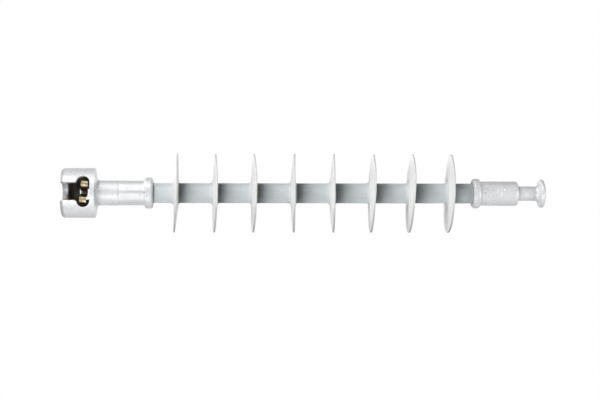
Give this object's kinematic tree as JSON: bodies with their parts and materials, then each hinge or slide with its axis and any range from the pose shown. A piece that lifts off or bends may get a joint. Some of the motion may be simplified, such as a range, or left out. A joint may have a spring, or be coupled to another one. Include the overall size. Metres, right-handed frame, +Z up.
{
  "type": "composite insulator",
  "caption": "Straight long-rod insulator with grey polymer sheds on a slim sheath, a forged socket with a locking clip at one end and a ball at the other.",
  "frame": {"origin": "on the axis at the ball seat: the inner face of the socket's lip, which carries the load", "axes": "+X along the insulator from the socket to the ball, +Z up as strung in tension, and the head entry of the socket faces -Y"},
  "size_m": [0.5695, 0.093, 0.093],
  "materials": {
    "glass_fibre_rod": "ground resin-bonded glass fibre",
    "silicone_rubber": "moulded, satin, light blue-grey",
    "galvanised_steel": "hot-dip galvanised, mottled matt grey",
    "sealant": "room-temperature-cured sealant, dull dark grey",
    "phosphor_bronze": "rolled strip, slightly tarnished"
  },
  "bodies": {
    "insulator": {"core_rod": "glass_fibre_rod", "housing": "silicone_rubber", "socket_fitting": "galvanised_steel", "ball_fitting": "galvanised_steel", "socket_end_seal": "sealant", "ball_end_seal": "sealant"},
    "clip": {"locking_clip": "phosphor_bronze"}
  },
  "joints": [
    {"name": "clip_slide", "type": "slide", "parent": "insulator", "child": "clip", "axis": [-0.0627, 0.997, 0.0454], "range_m": [0, 0.013]}
  ]
}
